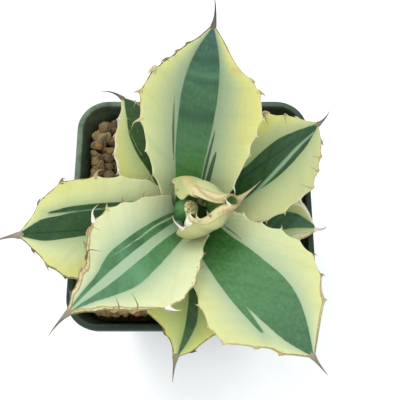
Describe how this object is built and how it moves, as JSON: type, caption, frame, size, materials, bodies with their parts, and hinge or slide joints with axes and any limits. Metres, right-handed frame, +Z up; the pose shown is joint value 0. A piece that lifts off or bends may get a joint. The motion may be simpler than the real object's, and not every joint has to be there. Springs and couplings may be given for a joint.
{
  "type": "potted agave",
  "caption": "Small variegated agave rosette with toothed, spine-tipped leaves, growing in a square plastic nursery pot filled with gravel.",
  "frame": {"origin": "middle of the pot's base, on the surface that the pot stands on", "axes": "+Z up; -Y is the side from which the picture looks down on the plant; +X to its right"},
  "size_m": [0.1187, 0.1256, 0.1236],
  "materials": {
    "pot": "semi-matte moulded plastic, scuffed along the lip",
    "gravel": "rough porous pumice-like gravel",
    "stem": "dry pale plant tissue",
    "leaf": "waxy leaf, dark green middle with cream margins and tan horny edge",
    "heart": "waxy young leaf, pale cream-green"
  },
  "bodies": {
    "root": {"pot": "pot", "soil": "gravel", "stem": "stem", "leaf_outer_right": "leaf", "leaf_outer_back_left": "leaf", "leaf_outer_front": "leaf", "leaf_middle_back_right": "leaf", "leaf_middle_left": "leaf", "leaf_upper_front_right": "leaf", "leaf_upper_back": "leaf", "leaf_upper_front_left": "leaf", "leaf_inner_cup": "leaf", "heart_bud": "heart"}
  },
  "joints": []
}
